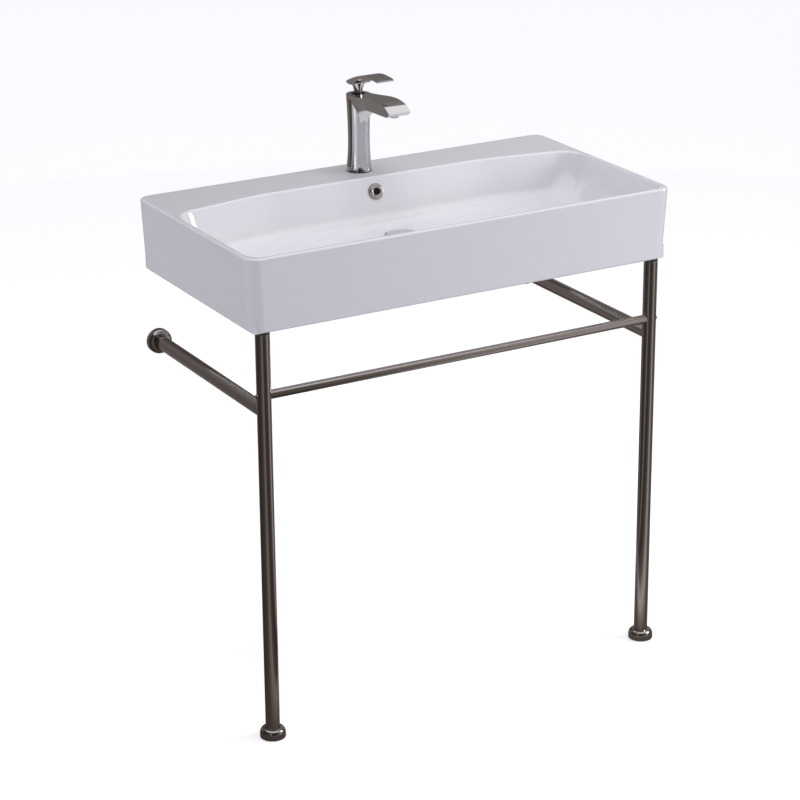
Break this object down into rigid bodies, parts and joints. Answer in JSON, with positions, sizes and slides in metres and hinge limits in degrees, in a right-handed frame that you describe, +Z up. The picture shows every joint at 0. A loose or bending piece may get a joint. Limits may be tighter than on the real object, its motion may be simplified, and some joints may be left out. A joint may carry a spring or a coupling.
{
  "type": "console wash basin",
  "caption": "Rectangular ceramic basin carried on two tubular front legs with a crossbar and side rails to the wall, with a single-lever tap and a click waste.",
  "frame": {"origin": "on the floor, at the middle of the whole object's outline seen from above", "axes": "+Z up along the object's height, +Y from the room towards the wall the basin is fixed to, +X to the right as seen from the room"},
  "size_m": [0.8494, 0.449, 1.0812],
  "materials": {
    "white_glaze": "gloss",
    "frame_steel": "polished",
    "chrome": "polished",
    "plain_steel": "satin",
    "raw_brass": "satin",
    "pale_nylon": "satin",
    "dark_nylon": "satin",
    "alumina": "satin",
    "black_rubber": "matte"
  },
  "bodies": {
    "body": {"basin": "white_glaze", "basin_bushes": "pale_nylon", "cartridge_fixed_disc": "alumina", "cartridge_housing": "dark_nylon", "cartridge_nut": "raw_brass", "crossbar": "frame_steel", "crossbar_plugs": "plain_steel", "crossbar_screws": "chrome", "foot_cover_left": "chrome", "foot_cover_right": "chrome", "foot_socket_left": "plain_steel", "foot_socket_right": "plain_steel", "leg_left": "frame_steel", "leg_right": "frame_steel", "leg_top_pads": "black_rubber", "leg_top_plugs": "plain_steel", "leg_top_studs": "plain_steel", "overflow_ring": "chrome", "rail_left": "frame_steel", "rail_plugs": "plain_steel", "rail_right": "frame_steel", "rail_studs": "plain_steel", "socket_grub_screws": "plain_steel", "tap_aerator": "pale_nylon", "tap_base_ring": "black_rubber", "tap_body": "chrome", "tap_clamp_plate": "plain_steel", "tap_rubber_washer": "black_rubber", "tap_stud": "plain_steel", "tap_stud_nut": "plain_steel", "wall_bolt_sleeves": "pale_nylon", "wall_cover_left": "chrome", "wall_cover_right": "chrome", "wall_socket_left": "plain_steel", "wall_socket_right": "plain_steel", "waste_body": "chrome", "waste_locknut": "raw_brass", "waste_lower_seal": "black_rubber", "waste_upper_seal": "black_rubber"},
    "mixer": {"cartridge_moving_disc": "alumina", "cartridge_carrier": "dark_nylon", "cartridge_cap": "dark_nylon", "cartridge_pin": "plain_steel"},
    "lever": {"cartridge_stem": "raw_brass", "tap_lever": "chrome", "lever_screw": "plain_steel"},
    "plug": {"waste_plug": "chrome"}
  },
  "joints": [
    {"name": "lever_swivel", "type": "hinge", "parent": "body", "child": "mixer", "pos_m": [0, 0.172, 1.024], "axis": [0, 0, 1], "range_deg": [-45, 45]},
    {"name": "lever_lift", "type": "hinge", "parent": "mixer", "child": "lever", "pos_m": [0, 0.172, 1.024], "axis": [-1, 0, 0], "range_deg": [0, 20]},
    {"name": "plug_rise", "type": "slide", "parent": "body", "child": "plug", "axis": [0, 0, 1], "range_m": [0, 0.008]}
  ]
}
